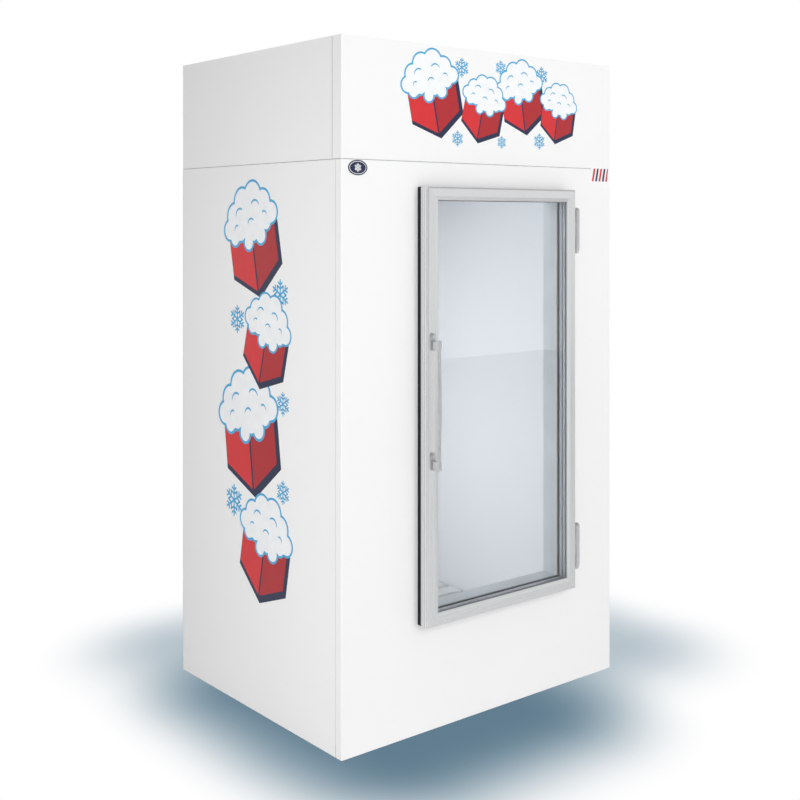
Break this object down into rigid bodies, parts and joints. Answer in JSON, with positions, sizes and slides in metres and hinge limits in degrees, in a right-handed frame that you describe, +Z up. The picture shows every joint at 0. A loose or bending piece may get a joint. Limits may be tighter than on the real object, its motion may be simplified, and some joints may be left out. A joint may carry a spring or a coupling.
{
  "type": "ice merchandiser freezer",
  "caption": "Upright white insulated freezer with one hinged glass door in an aluminium frame, a bow handle, and a header that hides an air-cooled refrigeration unit.",
  "frame": {"origin": "on the floor, in the middle of the cabinet's footprint over its panels, on the underside of the middle skid", "axes": "+Z up; the front with the door faces -Y; +X to the right of someone who faces the door"},
  "size_m": [1.16, 1.032, 2.096],
  "materials": {
    "white_paint": "gloss",
    "galvanised": "spangled",
    "frame_aluminium": "satin anodised",
    "cast_alloy": "cast and tumbled",
    "liner_paint": "satin",
    "foam": "rigid foam",
    "trim_plastic": "satin",
    "white_plastic": "satin",
    "lens": "frosted",
    "glass": "clear",
    "spacer_aluminium": "mill",
    "black_rubber": "matte",
    "black_plastic": "satin",
    "black_paint": "satin",
    "copper": "drawn",
    "fin_aluminium": "bright",
    "grey_paint": "satin",
    "zinc_steel": "zinc plated"
  },
  "bodies": {
    "cabinet": {"skid_rails": "galvanised", "base_pan": "galvanised", "front_panel": "white_paint", "left_side_panel": "white_paint", "right_side_panel": "white_paint", "back_panel": "galvanised", "machine_deck": "galvanised", "foam_shell": "foam", "foam_front": "foam", "liner_floor": "liner_paint", "liner_walls": "liner_paint", "liner_front": "liner_paint", "liner_ceiling": "liner_paint", "jamb_trim": "trim_plastic", "floor_rack": "white_plastic", "light_housing": "white_plastic", "light_lens": "lens", "header_front_panel": "white_paint", "header_left_panel": "white_paint", "header_right_panel": "white_paint", "rear_louvre_panel": "galvanised", "top_cover": "white_paint", "compressor": "black_paint", "compressor_grommets": "black_rubber", "condenser_coil": "fin_aluminium", "condenser_shroud": "galvanised", "condenser_fan_motor": "black_paint", "filter_drier": "copper", "refrigerant_lines": "copper", "control_box": "grey_paint", "cord_gland": "black_plastic", "evaporator_coil": "fin_aluminium", "evaporator_housing": "liner_paint", "evaporator_fan_motors": "zinc_steel", "fan_guards": "zinc_steel", "drain_pan": "black_plastic", "drain_tube": "white_plastic", "hinge_brackets": "cast_alloy", "hinge_pins": "zinc_steel", "cabinet_screws": "zinc_steel"},
    "door": {"door_stile_left": "frame_aluminium", "door_stile_right": "frame_aluminium", "door_rail_top": "frame_aluminium", "door_rail_bottom": "frame_aluminium", "corner_keys": "cast_alloy", "glazing_bead": "black_rubber", "outer_pane": "glass", "middle_pane": "glass", "inner_pane": "glass", "glass_spacers": "spacer_aluminium", "thermal_break": "black_plastic", "door_gasket": "black_rubber", "pull_handle": "cast_alloy", "hinge_leaves": "cast_alloy", "door_screws": "zinc_steel"},
    "condenser_fan": {"condenser_fan_blade": "fin_aluminium"},
    "left_evaporator_fan": {"evaporator_fan_left": "black_plastic"},
    "right_evaporator_fan": {"evaporator_fan_right": "black_plastic"},
    "knob": {"temperature_knob": "black_plastic"},
    "rocker": {"power_rocker": "black_plastic"}
  },
  "joints": [
    {"name": "door_hinge", "type": "hinge", "parent": "cabinet", "child": "door", "pos_m": [0.366, -0.5035, 1], "axis": [0, 0, 1], "range_deg": [0, 110]},
    {"name": "condenser_fan_spin", "type": "hinge", "parent": "cabinet", "child": "condenser_fan", "pos_m": [0, 0.3265, 1.881], "axis": [0, 1, 0], "continuous": true},
    {"name": "left_evaporator_fan_spin", "type": "hinge", "parent": "cabinet", "child": "left_evaporator_fan", "pos_m": [-0.31, 0.0845, 1.597], "axis": [0, 1, 0], "continuous": true},
    {"name": "right_evaporator_fan_spin", "type": "hinge", "parent": "cabinet", "child": "right_evaporator_fan", "pos_m": [-0.03, 0.0845, 1.597], "axis": [0, 1, 0], "continuous": true},
    {"name": "knob_turn", "type": "hinge", "parent": "cabinet", "child": "knob", "pos_m": [0.398, 0.449, 1.84], "axis": [0, 1, 0], "range_deg": [-150, 150]},
    {"name": "rocker_tilt", "type": "hinge", "parent": "cabinet", "child": "rocker", "pos_m": [0.486, 0.4445, 1.84], "axis": [1, 0, 0], "range_deg": [-9, 9]}
  ]
}
